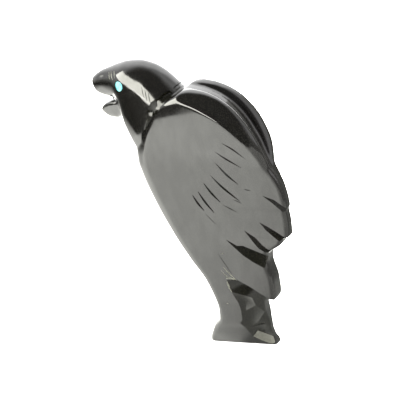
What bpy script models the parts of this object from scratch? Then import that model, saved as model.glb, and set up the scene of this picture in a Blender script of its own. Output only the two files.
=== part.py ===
"""Raven fetish carving: a small perched raven cut from one slab of jet, with two turquoise inlay eyes.

The bird faces -Y and its left side is at +X. The origin is the centre of the flat underside of the foot.
"""
import math
import random
from typing import NamedTuple

import bmesh
import bpy
from mathutils import Vector

# Driving sizes, in metres
FIGURE_HEIGHT = 0.076
SLAB_THICKNESS = 0.0138
FOOT_LENGTH = 0.0190
FOOT_WIDTH = 0.0092
FOOT_REAR_WIDTH = 0.0050
TOE_HEIGHT = 0.0042
TAIL_THICKNESS = 0.0052
HEAD_WIDTH = 0.0110
LOWER_BEAK_WIDTH = 0.0062
BACK_VALLEY_DEPTH = 0.0019
COLLAR_GROOVE_WIDTH = 0.0015
FEATHER_CUT_DEPTH = 0.0013
FEATHER_CUT_WIDTH = 0.0017
POCKET_DEPTH = 0.0011
POCKET_ROUGHNESS = 0.00040
EYE_DIAMETER = 0.0029
EYE_PLUG_LENGTH = 0.0016
EYE_CROWN = 0.00015
INLAY_GAP = 0.0003

# The pose is drawn on a side view that is 76 steps tall: y runs to the tail and z runs up
STEP = FIGURE_HEIGHT / 76

RING_SPACING = 0.0017
NOSE_SEGMENTS = 5
PANEL_SEGMENTS = 6
HEEL_SEGMENTS = 4
CREST_SEGMENTS = 3
HEAD_SEGMENTS = 28
EYE_SEGMENTS = 24
GROOVE_SEGMENTS = 6

# How far a cutter stands clear of the surface that it cuts
OVERSHOOT = 0.0012
POCKET_SEED = 4

for old in list(bpy.data.objects):
    bpy.data.objects.remove(old, do_unlink=True)


def polished(name, colour, roughness):
    """A Principled material for one polished stone."""
    stone = bpy.data.materials.new(name)
    stone.use_nodes = True
    shader = stone.node_tree.nodes["Principled BSDF"]
    shader.inputs["Base Color"].default_value = (*colour, 1.0)
    shader.inputs["Roughness"].default_value = roughness
    shader.inputs["Metallic"].default_value = 0.0
    stone.diffuse_color = (*colour, 1.0)
    return stone


JET = polished("polished jet", (0.012, 0.012, 0.011), 0.12)
TURQUOISE = polished("turquoise", (0.27, 0.78, 0.80), 0.30)


class BodyStation(NamedTuple):
    """One cross-section of the slab, from its front edge to its rear edge, in steps of the side view.

    The two widths are shares of the slab's thickness, the crest a share of the rear width and the valley
    a share of the valley between the wings. The nose and the heel are how far each edge is rounded.
    """
    front: tuple
    rear: tuple
    front_width: float
    rear_width: float
    nose: float
    heel: float
    crest: float
    valley: float


class HeadStation(NamedTuple):
    """One cross-section of the head, the neck or the beak, from its upper line to its lower line, in steps."""
    upper: tuple
    lower: tuple
    width: float


# The foot, level by level: a share of the toe's height, how far its front and its rear step in, a width share
FOOT_LEVELS = [
    (0.0, 0.0, 0.0, 1.00),
    (0.5, 0.7, 0.8, 1.00),
    (1.0, 1.7, 1.4, 0.95),
]
FOOT_NOSE = 2.4
FOOT_HEEL = 0.9
FOOT_CREST = 0.4

TAIL = TAIL_THICKNESS / SLAB_THICKNESS

# From the ankle, up the leg and belly, past the stepped feather tips and the rump, to the shoulders
BODY = [
    BodyStation((-6.0, 6.5), (8.0, 6.1), 0.62, 0.90 * TAIL, 1.8, 0.9, 0.50, 0.0),
    BodyStation((-6.0, 9.5), (7.5, 10.1), 0.63, 0.90 * TAIL, 2.0, 0.9, 0.45, 0.0),
    BodyStation((-6.6, 12.1), (7.6, 12.6), 0.64, 0.95 * TAIL, 2.2, 0.9, 0.45, 0.0),
    BodyStation((-6.8, 12.6), (10.1, 13.2), 0.64, 0.95 * TAIL, 2.3, 0.9, 0.45, 0.0),
    BodyStation((-7.5, 14.6), (11.0, 14.8), 0.66, TAIL, 2.5, 0.9, 0.45, 0.0),
    BodyStation((-9.2, 18.2), (10.9, 19.1), 0.69, TAIL, 3.0, 1.0, 0.45, 0.0),
    BodyStation((-12.7, 23.4), (9.8, 24.3), 0.75, 1.05 * TAIL, 3.6, 1.1, 0.45, 0.0),
    BodyStation((-14.5, 26.4), (10.3, 27.0), 0.79, 1.10 * TAIL, 4.0, 1.1, 0.45, 0.0),
    BodyStation((-16.1, 29.2), (14.2, 30.2), 0.82, 1.10 * TAIL, 4.2, 1.1, 0.45, 0.0),
    BodyStation((-17.0, 31.0), (14.8, 31.8), 0.84, 1.10 * TAIL, 4.4, 1.1, 0.45, 0.0),
    BodyStation((-17.2, 31.4), (16.2, 32.2), 0.84, 1.10 * TAIL, 4.4, 1.2, 0.45, 0.0),
    BodyStation((-18.9, 34.9), (16.4, 35.9), 0.87, 1.10 * TAIL, 4.6, 1.3, 0.45, 0.0),
    BodyStation((-20.4, 38.3), (16.0, 39.4), 0.89, 1.15 * TAIL, 4.8, 1.3, 0.45, 0.0),
    BodyStation((-20.7, 39.1), (16.4, 40.3), 0.90, 1.15 * TAIL, 4.8, 1.3, 0.45, 0.0),
    BodyStation((-22.4, 43.5), (15.6, 44.8), 0.92, 1.25 * TAIL, 5.0, 1.6, 0.42, 0.0),
    BodyStation((-23.6, 47.6), (14.0, 48.8), 0.93, 1.40 * TAIL, 5.0, 2.0, 0.35, 0.0),
    BodyStation((-24.1, 50.0), (12.6, 51.2), 0.93, 0.62, 5.0, 2.4, 0.34, 0.05),
    BodyStation((-24.1, 52.7), (12.5, 53.2), 0.93, 0.70, 5.0, 2.6, 0.46, 0.25),
    BodyStation((-23.4, 55.5), (12.0, 56.4), 0.93, 0.78, 5.0, 2.8, 0.58, 0.55),
    BodyStation((-22.1, 58.1), (10.2, 60.7), 0.93, 0.84, 5.0, 2.8, 0.68, 0.80),
    BodyStation((-20.4, 60.5), (7.5, 64.7), 0.93, 0.88, 5.0, 2.8, 0.76, 0.95),
    BodyStation((-18.9, 62.4), (4.4, 67.5), 0.93, 0.90, 4.8, 2.8, 0.80, 1.00),
    BodyStation((-17.3, 64.0), (1.1, 69.3), 0.92, 0.90, 4.4, 2.7, 0.81, 1.00),
    BodyStation((-15.3, 65.3), (-2.3, 70.2), 0.91, 0.89, 3.6, 2.4, 0.81, 0.90),
    BodyStation((-13.3, 66.6), (-5.0, 70.5), 0.87, 0.86, 2.6, 1.9, 0.80, 0.70),
    BodyStation((-11.4, 67.9), (-7.2, 70.3), 0.73, 0.73, 1.3, 1.2, 0.76, 0.35),
    BodyStation((-10.1, 68.8), (-8.5, 69.9), 0.46, 0.46, 0.5, 0.5, 0.60, 0.05),
]

# From the blunt beak tip, over the crown and down the neck, to the end that is buried in the shoulders
HEAD = [
    HeadStation((-35.9, 69.4), (-35.8, 68.3), 0.08),
    HeadStation((-35.5, 70.2), (-35.3, 67.4), 0.25),
    HeadStation((-34.7, 70.9), (-34.7, 66.4), 0.36),
    HeadStation((-33.2, 72.0), (-33.5, 65.8), 0.47),
    HeadStation((-30.2, 73.4), (-31.2, 65.4), 0.62),
    HeadStation((-27.4, 74.6), (-28.9, 65.2), 0.78),
    HeadStation((-24.4, 75.5), (-27.4, 62.8), 0.91),
    HeadStation((-20.8, 75.9), (-26.9, 60.3), 0.98),
    HeadStation((-17.3, 75.3), (-26.4, 57.6), 1.00),
    HeadStation((-14.3, 73.9), (-25.9, 54.8), 1.00),
    HeadStation((-11.7, 71.9), (-25.0, 51.5), 1.00),
    HeadStation((-9.2, 69.6), (-22.8, 49.1), 0.98),
    HeadStation((-6.0, 65.3), (-16.8, 46.2), 0.90),
]

# The short, broken lower beak, from inside the cheek to its blunt tip
LOWER_BEAK = [
    HeadStation((-24.2, 65.4), (-24.5, 60.8), 1.00),
    HeadStation((-28.1, 65.0), (-28.0, 60.5), 0.96),
    HeadStation((-30.4, 64.3), (-29.7, 59.8), 0.82),
    HeadStation((-32.2, 63.1), (-31.4, 59.7), 0.66),
    HeadStation((-33.5, 61.7), (-33.1, 60.6), 0.40),
]

# The deep cuts between the feather tips: where each runs, its width and its depth as shares
FEATHER_CUTS = [
    [(11.0, 43.4, 0.1, 0.0), (13.4, 42.1, 0.7, 0.6), (16.8, 39.2, 0.9, 1.0), (19.5, 37.0, 1.0, 1.1)],
    [(9.3, 36.0, 0.1, 0.0), (12.6, 33.2, 1.1, 0.8), (15.0, 31.4, 1.0, 1.0), (18.5, 28.8, 1.0, 1.1)],
    [(5.2, 33.4, 0.1, 0.0), (7.2, 31.4, 0.6, 0.5), (9.9, 28.6, 0.8, 1.0), (13.5, 27.2, 0.9, 1.1)],
    [(0.2, 30.1, 0.1, 0.0), (2.2, 28.5, 0.4, 0.4), (5.2, 26.5, 1.5, 0.9), (9.8, 25.2, 2.0, 1.1)],
]

# The rough pocket between the leg and the tail: each level's point at the leg, its point at the tail, its depth
POCKET_LEVELS = [
    ((-1.4, 17.7), (1.5, 18.1), 0.6),
    ((-1.6, 16.2), (5.6, 15.8), 0.9),
    ((-1.1, 14.1), (9.7, 14.1), 1.0),
    ((-0.5, 11.6), (11.5, 11.2), 1.0),
    ((0.8, 8.6), (11.5, 8.2), 1.0),
    ((1.3, 5.9), (11.5, 5.4), 0.9),
    ((3.3, 3.0), (11.5, 3.0), 0.6),
    ((7.6, 1.3), (10.4, 1.7), 0.05),
]
POCKET_COLUMNS = 5

# The groove that parts the neck from the shoulders, from the nape down one side: its place and its width as a share
COLLAR = [
    (-9.2, 70.1, 1.0), (-9.9, 69.5, 1.0), (-10.9, 68.6, 1.0), (-12.4, 67.0, 0.9), (-14.6, 65.4, 1.0),
    (-16.6, 63.9, 0.8), (-18.1, 61.6, 0.6), (-19.4, 59.0, 0.5), (-20.4, 56.6, 0.15),
]

# A point deep in the neck, from which the groove's tube keeps its turn
NECK_MIDDLE = (-14.0, 60.0)

EYE_PLACE = (-24.9, 70.4)

# The low dome of an eye, as shares of its radius and of its crown
EYE_DOME = [(1.0, 0.0), (0.8, 0.6), (0.45, 1.0)]

# The flat part of the valley's floor, as a share of the crests' distance
VALLEY_FLOOR = 0.45

# The width of a feather cut's floor, as a share of its width on the surface
CUT_FLOOR = 0.45


def side(y, z, x=0.0):
    """A point of the side view, in steps, with its distance from the middle plane in metres."""
    return Vector((x, y * STEP, z * STEP))


def limited_slopes(knots, values):
    """Slopes of a smooth line through the values that never overshoots them."""
    steps = [b - a for a, b in zip(knots, knots[1:])]
    rises = [(b - a) / h for a, b, h in zip(values, values[1:], steps)]
    slopes = [rises[0]]
    for h0, h1, r0, r1 in zip(steps, steps[1:], rises, rises[1:]):
        if r0 * r1 <= 0:
            slopes.append(0.0)
        else:
            slopes.append(3 * (h0 + h1) / ((2 * h1 + h0) / r0 + (h1 + 2 * h0) / r1))
    slopes.append(rises[-1])
    return slopes


def smooth_rows(rows, spacing):
    """Rows of numbers between the given rows, about one spacing apart, on smooth lines through each column.

    The first four numbers of a row are the two ends of its section, which give the distances between rows.
    """
    knots = [0.0]
    for a, b in zip(rows, rows[1:]):
        front_move = math.hypot(b[0] - a[0], b[1] - a[1])
        rear_move = math.hypot(b[2] - a[2], b[3] - a[3])
        knots.append(knots[-1] + max(front_move, rear_move))
    columns = list(zip(*rows))
    slopes = [limited_slopes(knots, column) for column in columns]
    result = []
    for i, (k0, k1) in enumerate(zip(knots, knots[1:])):
        length = k1 - k0
        count = max(1, round(length / spacing))
        for j in range(count):
            t = j / count
            row = []
            for column, slope in zip(columns, slopes):
                start = (1 + 2 * t) * (1 - t) ** 2 * column[i] + t * (1 - t) ** 2 * length * slope[i]
                end = t * t * (3 - 2 * t) * column[i + 1] + t * t * (t - 1) * length * slope[i + 1]
                row.append(start + end)
            result.append(row)
    result.append(list(rows[-1]))
    return result


def slab_ring(front, rear, front_half, rear_half, nose, heel, crest, valley):
    """One closed section: rounded nose, flat side panels, rounded heel, and two wing crests with a floor between."""
    chord = rear - front
    length = chord.length
    along = chord / length
    nose = min(nose, 0.4 * length)
    heel = min(heel, 0.4 * length)
    half = []
    for i in range(NOSE_SEGMENTS + 1):
        turn = math.pi / 2 * i / NOSE_SEGMENTS
        half.append((nose * (1 - math.cos(turn)), front_half * math.sin(turn)))
    for i in range(1, PANEL_SEGMENTS + 1):
        share = i / PANEL_SEGMENTS
        half.append((nose + (length - nose - heel) * share, front_half + (rear_half - front_half) * share))
    for i in range(1, HEEL_SEGMENTS + 1):
        turn = math.pi / 2 * i / HEEL_SEGMENTS
        half.append((length - heel * (1 - math.sin(turn)), crest + (rear_half - crest) * math.cos(turn)))
    floor = VALLEY_FLOOR * crest
    for i in range(1, CREST_SEGMENTS + 1):
        share = i / CREST_SEGMENTS
        drop = 1 - math.sqrt(1 - share * share)
        half.append((length - valley * drop, crest + (floor - crest) * share))
    half.append((length - valley, 0.0))
    points = [front + along * t + Vector((x, 0, 0)) for t, x in half]
    mirrored = [Vector((-p.x, p.y, p.z)) for p in points[-2:0:-1]]
    return points + mirrored


def oval_ring(upper, lower, half_width):
    """One closed oval section of the head, the neck or a beak."""
    middle = (upper + lower) / 2
    arm = (upper - lower) / 2
    ring = []
    for i in range(HEAD_SEGMENTS):
        turn = 2 * math.pi * (i + 0.5) / HEAD_SEGMENTS
        ring.append(middle + arm * math.cos(turn) + Vector((half_width * math.sin(turn), 0, 0)))
    return ring


def loft(name, bodies):
    """One object with a closed skin through each body's rings, which have equal point counts, with flat ends."""
    bm = bmesh.new()
    for rings in bodies:
        loops = [[bm.verts.new(p) for p in ring] for ring in rings]
        count = len(loops[0])
        for a, b in zip(loops, loops[1:]):
            for i in range(count):
                j = (i + 1) % count
                bm.faces.new((a[i], a[j], b[j], b[i]))
        bm.faces.new(loops[0])
        bm.faces.new(loops[-1])
    return finished(name, bm)


def finished(name, bm):
    """Turns a bmesh into an object with its faces pointing out."""
    bmesh.ops.recalc_face_normals(bm, faces=bm.faces)
    mesh = bpy.data.meshes.new(name)
    bm.to_mesh(mesh)
    bm.free()
    shape = bpy.data.objects.new(name, mesh)
    bpy.context.collection.objects.link(shape)
    return shape


def join_or_cut(body, tool, operation):
    """Adds a Boolean to the body and hides its tool."""
    tool.hide_render = True
    tool.display_type = "WIRE"
    step = body.modifiers.new(tool.name, "BOOLEAN")
    step.operation = operation
    step.object = tool
    step.solver = "EXACT"


def body_rows():
    """The foot, then every station of the slab, as rows of sizes in metres."""
    half = SLAB_THICKNESS / 2
    foot_end = FOOT_LENGTH / 2
    heel_half = FOOT_REAR_WIDTH / 2
    rows = []
    for rise, front_step, rear_step, width in FOOT_LEVELS:
        z = rise * TOE_HEIGHT
        rows.append((front_step * STEP - foot_end, z, foot_end - rear_step * STEP, z,
                     width * FOOT_WIDTH / 2, heel_half, FOOT_NOSE * STEP, FOOT_HEEL * STEP,
                     FOOT_CREST * heel_half, 0.0))
    for s in BODY:
        rear_half = s.rear_width * half
        rows.append((s.front[0] * STEP, s.front[1] * STEP, s.rear[0] * STEP, s.rear[1] * STEP,
                     s.front_width * half, rear_half, s.nose * STEP, s.heel * STEP,
                     s.crest * rear_half, s.valley * BACK_VALLEY_DEPTH))
    return smooth_rows(rows, RING_SPACING)


def oval_rows(stations, width):
    """Sections of the head or a beak, as rows of sizes in metres."""
    rows = [(s.upper[0] * STEP, s.upper[1] * STEP, s.lower[0] * STEP, s.lower[1] * STEP, s.width * width / 2)
            for s in stations]
    return smooth_rows(rows, RING_SPACING)


def section_at(rows, y, z):
    """The row through a point of the side view, and how far along that section the point lies."""
    last = None
    for row in rows:
        start = Vector((row[0], row[1]))
        along = Vector((row[2], row[3])) - start
        offset = Vector((y, z)) - start
        aside = (along.x * offset.y - along.y * offset.x) / along.length
        here = offset.dot(along) / along.length_squared
        if last and (aside <= 0) != (last[0] <= 0):
            share = last[0] / (last[0] - aside)
            row_here = [a + (b - a) * share for a, b in zip(last[1], row)]
            return row_here, last[2] + (here - last[2]) * share
        last = (aside, row, here)
    return rows[-1], here


def panel_x(y, z):
    """Half the slab's thickness at a point of the side view."""
    row, share = section_at(BODY_ROWS, y, z)
    length = math.hypot(row[2] - row[0], row[3] - row[1])
    nose, heel = row[6], row[7]
    across = (share * length - nose) / (length - nose - heel)
    return row[4] + (row[5] - row[4]) * min(1.0, max(0.0, across))


def shoulder_x(y, z):
    """Half the slab's thickness at a point of the side view, with the rounding of its front edge."""
    row, share = section_at(BODY_ROWS, y, z)
    nose = row[6]
    inward = share * math.hypot(row[2] - row[0], row[3] - row[1])
    return row[4] * math.sqrt(max(0.0, 1 - max(0.0, 1 - inward / nose) ** 2))


def head_x(y, z):
    """Half the head's width at a point of the side view."""
    row, share = section_at(HEAD_ROWS, y, z)
    return row[4] * math.sqrt(max(0.0, 1 - (2 * share - 1) ** 2))


def feather_cut(stations, sign):
    """A wedge that deepens from its tip on the wing to the wing's rear edge."""
    rings = []
    start, end = stations[0], stations[-1]
    along = Vector((0, end[0] - start[0], end[1] - start[1])).normalized()
    aside = Vector((0, -along.z, along.y))
    for y, z, width, depth in stations:
        middle = side(y, z)
        surface = panel_x(middle.y, middle.z)
        half = width * FEATHER_CUT_WIDTH / 2
        floor = surface - depth * FEATHER_CUT_DEPTH
        top = surface + OVERSHOOT
        flare = half * (1 + OVERSHOOT / FEATHER_CUT_DEPTH)
        corners = [(top, -flare), (top, flare), (floor, CUT_FLOOR * half), (floor, -CUT_FLOOR * half)]
        rings.append([middle + aside * v + Vector((sign * x, 0, 0)) for x, v in corners])
    return rings


def pocket(sign):
    """The rough pocket as a grid of chisel facets under a flat lid."""
    rough = random.Random(POCKET_SEED)
    lid, floor = [], []
    for leg, tail, depth in POCKET_LEVELS:
        lid_row, floor_row = [], []
        for i in range(POCKET_COLUMNS):
            share = i / (POCKET_COLUMNS - 1)
            point = side(leg[0] + (tail[0] - leg[0]) * share, leg[1] + (tail[1] - leg[1]) * share)
            surface = panel_x(point.y, point.z)
            sunk = depth * (POCKET_DEPTH - POCKET_ROUGHNESS * rough.random())
            lid_row.append(point + Vector((sign * (surface + OVERSHOOT), 0, 0)))
            floor_row.append(point + Vector((sign * (surface - sunk), 0, 0)))
        lid.append(lid_row)
        floor.append(floor_row)
    return lid, floor


def boxed_grids(name, pairs):
    """Closed solids, each between a lid grid and a floor grid of the same size."""
    bm = bmesh.new()
    for lid, floor in pairs:
        top = [[bm.verts.new(p) for p in row] for row in lid]
        low = [[bm.verts.new(p) for p in row] for row in floor]
        rows, columns = len(top), len(top[0])
        for i in range(rows - 1):
            for j in range(columns - 1):
                bm.faces.new((top[i][j], top[i][j + 1], top[i + 1][j + 1], top[i + 1][j]))
                bm.faces.new((low[i][j], low[i + 1][j], low[i + 1][j + 1]))
                bm.faces.new((low[i][j], low[i + 1][j + 1], low[i][j + 1]))
        rim = [(0, j) for j in range(columns)] + [(i, columns - 1) for i in range(1, rows)]
        rim += [(rows - 1, j) for j in range(columns - 2, -1, -1)] + [(i, 0) for i in range(rows - 2, 0, -1)]
        for (i, j), (k, m) in zip(rim, rim[1:] + rim[:1]):
            bm.faces.new((top[i][j], low[i][j], low[k][m], top[k][m]))
    return finished(name, bm)


def collar_rings():
    """A tube that follows the groove over the nape, on whichever stands further out, neck or shoulder."""
    down = []
    for y, z, share in COLLAR:
        point = side(y, z)
        point.x = max(head_x(point.y, point.z), shoulder_x(point.y, point.z))
        down.append((point, share))
    down[0][0].x = COLLAR_GROOVE_WIDTH / 2
    stops = [(Vector((-p.x, p.y, p.z)), share) for p, share in reversed(down)] + down
    points = [p for p, share in stops]
    middle = side(*NECK_MIDDLE)
    rings = []
    for i, (point, stop) in enumerate(zip(points, stops)):
        before, after = points[max(0, i - 1)], points[min(len(points) - 1, i + 1)]
        along = (after - before).normalized()
        aside = along.cross(point - middle).normalized()
        upward = along.cross(aside)
        radius = stop[1] * COLLAR_GROOVE_WIDTH / 2
        ring = []
        for j in range(GROOVE_SEGMENTS):
            turn = 2 * math.pi * j / GROOVE_SEGMENTS
            ring.append(point + (aside * math.cos(turn) + upward * math.sin(turn)) * radius)
        rings.append(ring)
    return rings


def eye_frame(sign):
    """The middle of an eye on the cheek, and the direction that it looks in."""
    middle = side(*EYE_PLACE)
    x = head_x(middle.y, middle.z)
    dx_dy = (head_x(middle.y + STEP, middle.z) - head_x(middle.y - STEP, middle.z)) / (2 * STEP)
    dx_dz = (head_x(middle.y, middle.z + STEP) - head_x(middle.y, middle.z - STEP)) / (2 * STEP)
    outward = Vector((sign, -dx_dy, -dx_dz)).normalized()
    return Vector((sign * x, middle.y, middle.z)), outward


def turned(middle, outward, profile):
    """Rings of a round form about the eye's axis, from pairs of radius and height above the cheek."""
    aside = outward.cross(Vector((0, 0, 1))).normalized()
    upward = outward.cross(aside)
    rings = []
    for radius, height in profile:
        ring = []
        for j in range(EYE_SEGMENTS):
            turn = 2 * math.pi * j / EYE_SEGMENTS
            ring.append(middle + outward * height + (aside * math.cos(turn) + upward * math.sin(turn)) * radius)
        rings.append(ring)
    return rings


BODY_ROWS = body_rows()
HEAD_ROWS = oval_rows(HEAD, HEAD_WIDTH)
BEAK_ROWS = oval_rows(LOWER_BEAK, LOWER_BEAK_WIDTH)


def slab_rings(rows):
    """Closed sections of the slab."""
    return [slab_ring(Vector((0, r[0], r[1])), Vector((0, r[2], r[3])), *r[4:]) for r in rows]


def oval_rings(rows):
    """Closed sections of the head or a beak."""
    return [oval_ring(Vector((0, r[0], r[1])), Vector((0, r[2], r[3])), r[4]) for r in rows]


raven = loft("raven_body", [slab_rings(BODY_ROWS)])
raven.data.materials.append(JET)
head = loft("head_and_neck", [oval_rings(HEAD_ROWS)])
lower_beak = loft("lower_beak", [oval_rings(BEAK_ROWS)])
join_or_cut(raven, head, "UNION")
join_or_cut(raven, lower_beak, "UNION")

sides = (1, -1)
collar = loft("collar_groove", [collar_rings()])
join_or_cut(raven, collar, "DIFFERENCE")
feathers = loft("feather_cuts", [feather_cut(cut, sign) for cut in FEATHER_CUTS for sign in sides])
join_or_cut(raven, feathers, "DIFFERENCE")
pockets = boxed_grids("pockets", [pocket(sign) for sign in sides])
join_or_cut(raven, pockets, "DIFFERENCE")

eye_radius = EYE_DIAMETER / 2
socket_profile = [(eye_radius + INLAY_GAP, -EYE_PLUG_LENGTH - INLAY_GAP), (eye_radius + INLAY_GAP, OVERSHOOT)]
eye_profile = [(eye_radius, -EYE_PLUG_LENGTH)] + [(r * eye_radius, h * EYE_CROWN) for r, h in EYE_DOME]
sockets = loft("eye_sockets", [turned(*eye_frame(sign), socket_profile) for sign in sides])
join_or_cut(raven, sockets, "DIFFERENCE")
for name, sign in (("eye_left", 1), ("eye_right", -1)):
    eye = loft(name, [turned(*eye_frame(sign), eye_profile)])
    eye.data.materials.append(TURQUOISE)
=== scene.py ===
"""Raven fetish carving: the finished look of a small jet raven with turquoise eyes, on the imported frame."""
import math
import random

import bmesh
import bpy
from mathutils import Matrix, Vector, geometry


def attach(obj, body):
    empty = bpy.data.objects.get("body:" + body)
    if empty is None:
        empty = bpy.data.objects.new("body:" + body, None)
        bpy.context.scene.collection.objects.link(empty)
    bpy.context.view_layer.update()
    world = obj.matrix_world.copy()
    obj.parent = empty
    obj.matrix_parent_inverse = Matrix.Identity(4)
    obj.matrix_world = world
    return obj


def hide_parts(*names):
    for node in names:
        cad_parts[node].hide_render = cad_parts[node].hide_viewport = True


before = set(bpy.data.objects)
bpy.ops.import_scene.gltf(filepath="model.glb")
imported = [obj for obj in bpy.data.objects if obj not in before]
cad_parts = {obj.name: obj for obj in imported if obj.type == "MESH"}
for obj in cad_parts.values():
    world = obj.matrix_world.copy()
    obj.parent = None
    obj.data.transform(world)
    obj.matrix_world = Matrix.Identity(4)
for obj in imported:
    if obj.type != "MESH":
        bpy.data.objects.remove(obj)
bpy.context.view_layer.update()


# The bird is sawn from one flat slab of jet, with its legs, tail and foot in the same piece. The outline is
# sawn first, then the sides are ground flat, the edges rounded and the head and neck shaped like a finger.
# Sizes are in millimetres. In the side view y runs to the tail and z runs up, and a half is half a thickness.
MM = 0.001
SLAB_HALF = 6.9
TAIL_HALF = 2.6
FOOT_HALF = 4.6
FOOT_REAR_HALF = 1.5
FOOT_END = 9.5
TOE_HEIGHT = 4.2
HEAD_HALF = 5.5
LOWER_BEAK_HALF = 3.1
BACK_VALLEY = 2.6
VALLEY_FLOOR = 0.45
SAWN_BELOW = 1.5
RING_SPACING = 0.6
NOSE_SEGMENTS, PANEL_SEGMENTS, HEEL_SEGMENTS, CREST_SEGMENTS = 14, 22, 16, 9
TAIL = TAIL_HALF / SLAB_HALF

# Sections of the slab from the foot up. Each runs from its front end (y, z) to its rear end (y, z). Then come
# its half at the front and at the rear as shares of the slab's, the lengths of its rounded front and rear
# edges, how far out its wing crests stand as a share of its rear half, and its share of the back's valley.
BODY = [
    (-6.0, 6.5, 8.0, 6.1, 0.62, 0.90 * TAIL, 1.8, 0.9, 0.50, 0.0),
    (-6.0, 9.5, 7.5, 10.1, 0.63, 0.90 * TAIL, 2.0, 0.9, 0.45, 0.0),
    (-6.6, 12.1, 7.6, 12.6, 0.64, 0.95 * TAIL, 2.2, 0.9, 0.45, 0.0),
    (-6.8, 12.6, 10.1, 13.2, 0.64, 0.95 * TAIL, 2.3, 0.9, 0.45, 0.0),
    (-7.5, 14.6, 11.0, 14.8, 0.66, TAIL, 2.5, 0.9, 0.45, 0.0),
    (-9.2, 18.2, 10.9, 19.1, 0.69, TAIL, 3.0, 1.0, 0.45, 0.0),
    (-12.7, 23.4, 9.8, 24.3, 0.75, 1.05 * TAIL, 3.6, 1.1, 0.45, 0.0),
    (-14.5, 26.4, 10.3, 27.0, 0.79, 1.10 * TAIL, 4.0, 1.1, 0.45, 0.0),
    (-16.1, 29.2, 14.2, 30.2, 0.82, 0.95 * TAIL, 4.2, 1.1, 0.45, 0.0),
    (-17.0, 31.0, 14.9, 31.8, 0.84, 0.80 * TAIL, 4.4, 1.1, 0.45, 0.0),
    (-17.2, 31.4, 16.3, 32.2, 0.84, 0.75 * TAIL, 4.4, 1.2, 0.45, 0.0),
    (-18.9, 34.9, 16.5, 35.9, 0.87, 0.66 * TAIL, 4.6, 1.3, 0.45, 0.0),
    (-20.4, 38.3, 16.2, 39.4, 0.89, 0.66 * TAIL, 4.8, 1.3, 0.45, 0.0),
    (-20.7, 39.1, 16.6, 40.3, 0.90, 0.66 * TAIL, 4.8, 1.3, 0.45, 0.0),
    (-22.4, 43.5, 16.0, 44.8, 0.92, 0.70 * TAIL, 5.0, 1.6, 0.42, 0.0),
    (-23.6, 47.6, 14.5, 48.8, 0.93, 0.84 * TAIL, 5.0, 1.6, 0.45, 0.05),
    (-24.1, 50.0, 13.2, 51.2, 0.93, 0.39, 5.0, 1.4, 0.55, 0.20),
    (-24.1, 52.7, 12.9, 53.2, 0.93, 0.49, 5.0, 1.4, 0.62, 0.45),
    (-23.4, 55.5, 12.3, 56.4, 0.93, 0.66, 4.9, 2.0, 0.66, 0.75),
    (-22.1, 58.1, 10.5, 60.9, 0.93, 0.81, 4.6, 3.9, 0.64, 0.95),
    (-20.4, 60.5, 7.8, 64.9, 0.93, 0.90, 4.2, 5.0, 0.62, 1.00),
    (-18.9, 62.4, 4.7, 67.8, 0.93, 0.92, 3.8, 6.1, 0.60, 1.00),
    (-17.3, 64.0, 1.2, 69.7, 0.92, 0.92, 3.4, 6.4, 0.58, 1.00),
    (-15.3, 65.3, -2.3, 70.6, 0.91, 0.89, 3.0, 5.4, 0.58, 0.90),
    (-13.3, 66.6, -5.0, 70.8, 0.87, 0.82, 2.6, 3.4, 0.62, 0.70),
    (-11.4, 67.9, -7.2, 70.5, 0.73, 0.69, 1.3, 1.2, 0.76, 0.35),
    (-10.1, 68.8, -8.5, 69.9, 0.46, 0.46, 0.5, 0.5, 0.60, 0.05),
]

# The foot's levels: share of the toe's height, how far its front and its rear step in, width share
FOOT_LEVELS = [(0.0, 0.0, 0.0, 1.00), (0.5, 0.7, 0.8, 1.00), (1.0, 1.7, 1.4, 0.95)]
FOOT_NOSE, FOOT_HEEL, FOOT_CREST = 2.4, 0.4, 0.5

# Sections of the head and the neck, from the blunt beak tip to inside the shoulders: upper line (y, z), lower
# line (y, z), share of the head's half, and how much of the neck's shape is in it. The face narrows quickly
# in front of the eyes.
HEAD = [
    (-35.9, 69.4, -35.8, 68.3, 0.08, 0.0), (-35.5, 70.2, -35.3, 67.4, 0.20, 0.0),
    (-34.7, 70.9, -34.7, 66.4, 0.30, 0.0), (-33.2, 72.0, -33.5, 65.8, 0.39, 0.0),
    (-30.2, 73.4, -31.2, 65.4, 0.48, 0.0), (-27.4, 74.6, -28.9, 65.2, 0.62, 0.0),
    (-24.4, 75.5, -27.4, 62.8, 0.82, 0.1), (-20.8, 75.9, -26.7, 60.3, 0.94, 0.6),
    (-17.3, 75.3, -25.7, 57.7, 1.03, 1.0), (-14.3, 73.9, -24.7, 55.2, 1.10, 1.0),
    (-11.7, 71.9, -23.3, 52.4, 1.14, 1.0), (-9.2, 69.6, -21.2, 50.0, 1.10, 1.0),
    (-6.0, 65.3, -16.8, 46.2, 0.92, 1.0),
]

# The short, broken lower beak from inside the cheek: upper line, lower line, share of its half
LOWER_BEAK = [
    (-24.2, 65.6, -24.5, 60.2, 1.00), (-28.1, 65.3, -28.0, 60.0, 0.96), (-30.4, 64.7, -29.7, 59.4, 0.86),
    (-32.4, 63.6, -31.4, 59.4, 0.72), (-33.7, 62.2, -33.1, 60.3, 0.46),
]

# Half a section of the head as (share of the half width, height), from its lower line to the crown: flat
# cheeks, a rounded corner above the eye and a roof up to the crown.
HEAD_SECTION = [
    (0.0, -1.0), (0.40, -0.93), (0.68, -0.73), (0.88, -0.43), (0.98, -0.08), (0.99, 0.22), (0.91, 0.48),
    (0.66, 0.73), (0.32, 0.93), (0.0, 1.0),
]
# The neck is widest low down, so its sides lean up
NECK_SECTION = [
    (0.0, -1.0), (0.52, -0.94), (0.83, -0.78), (0.97, -0.54), (0.98, -0.26), (0.95, 0.05), (0.87, 0.40),
    (0.66, 0.71), (0.32, 0.93), (0.0, 1.0),
]
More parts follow.
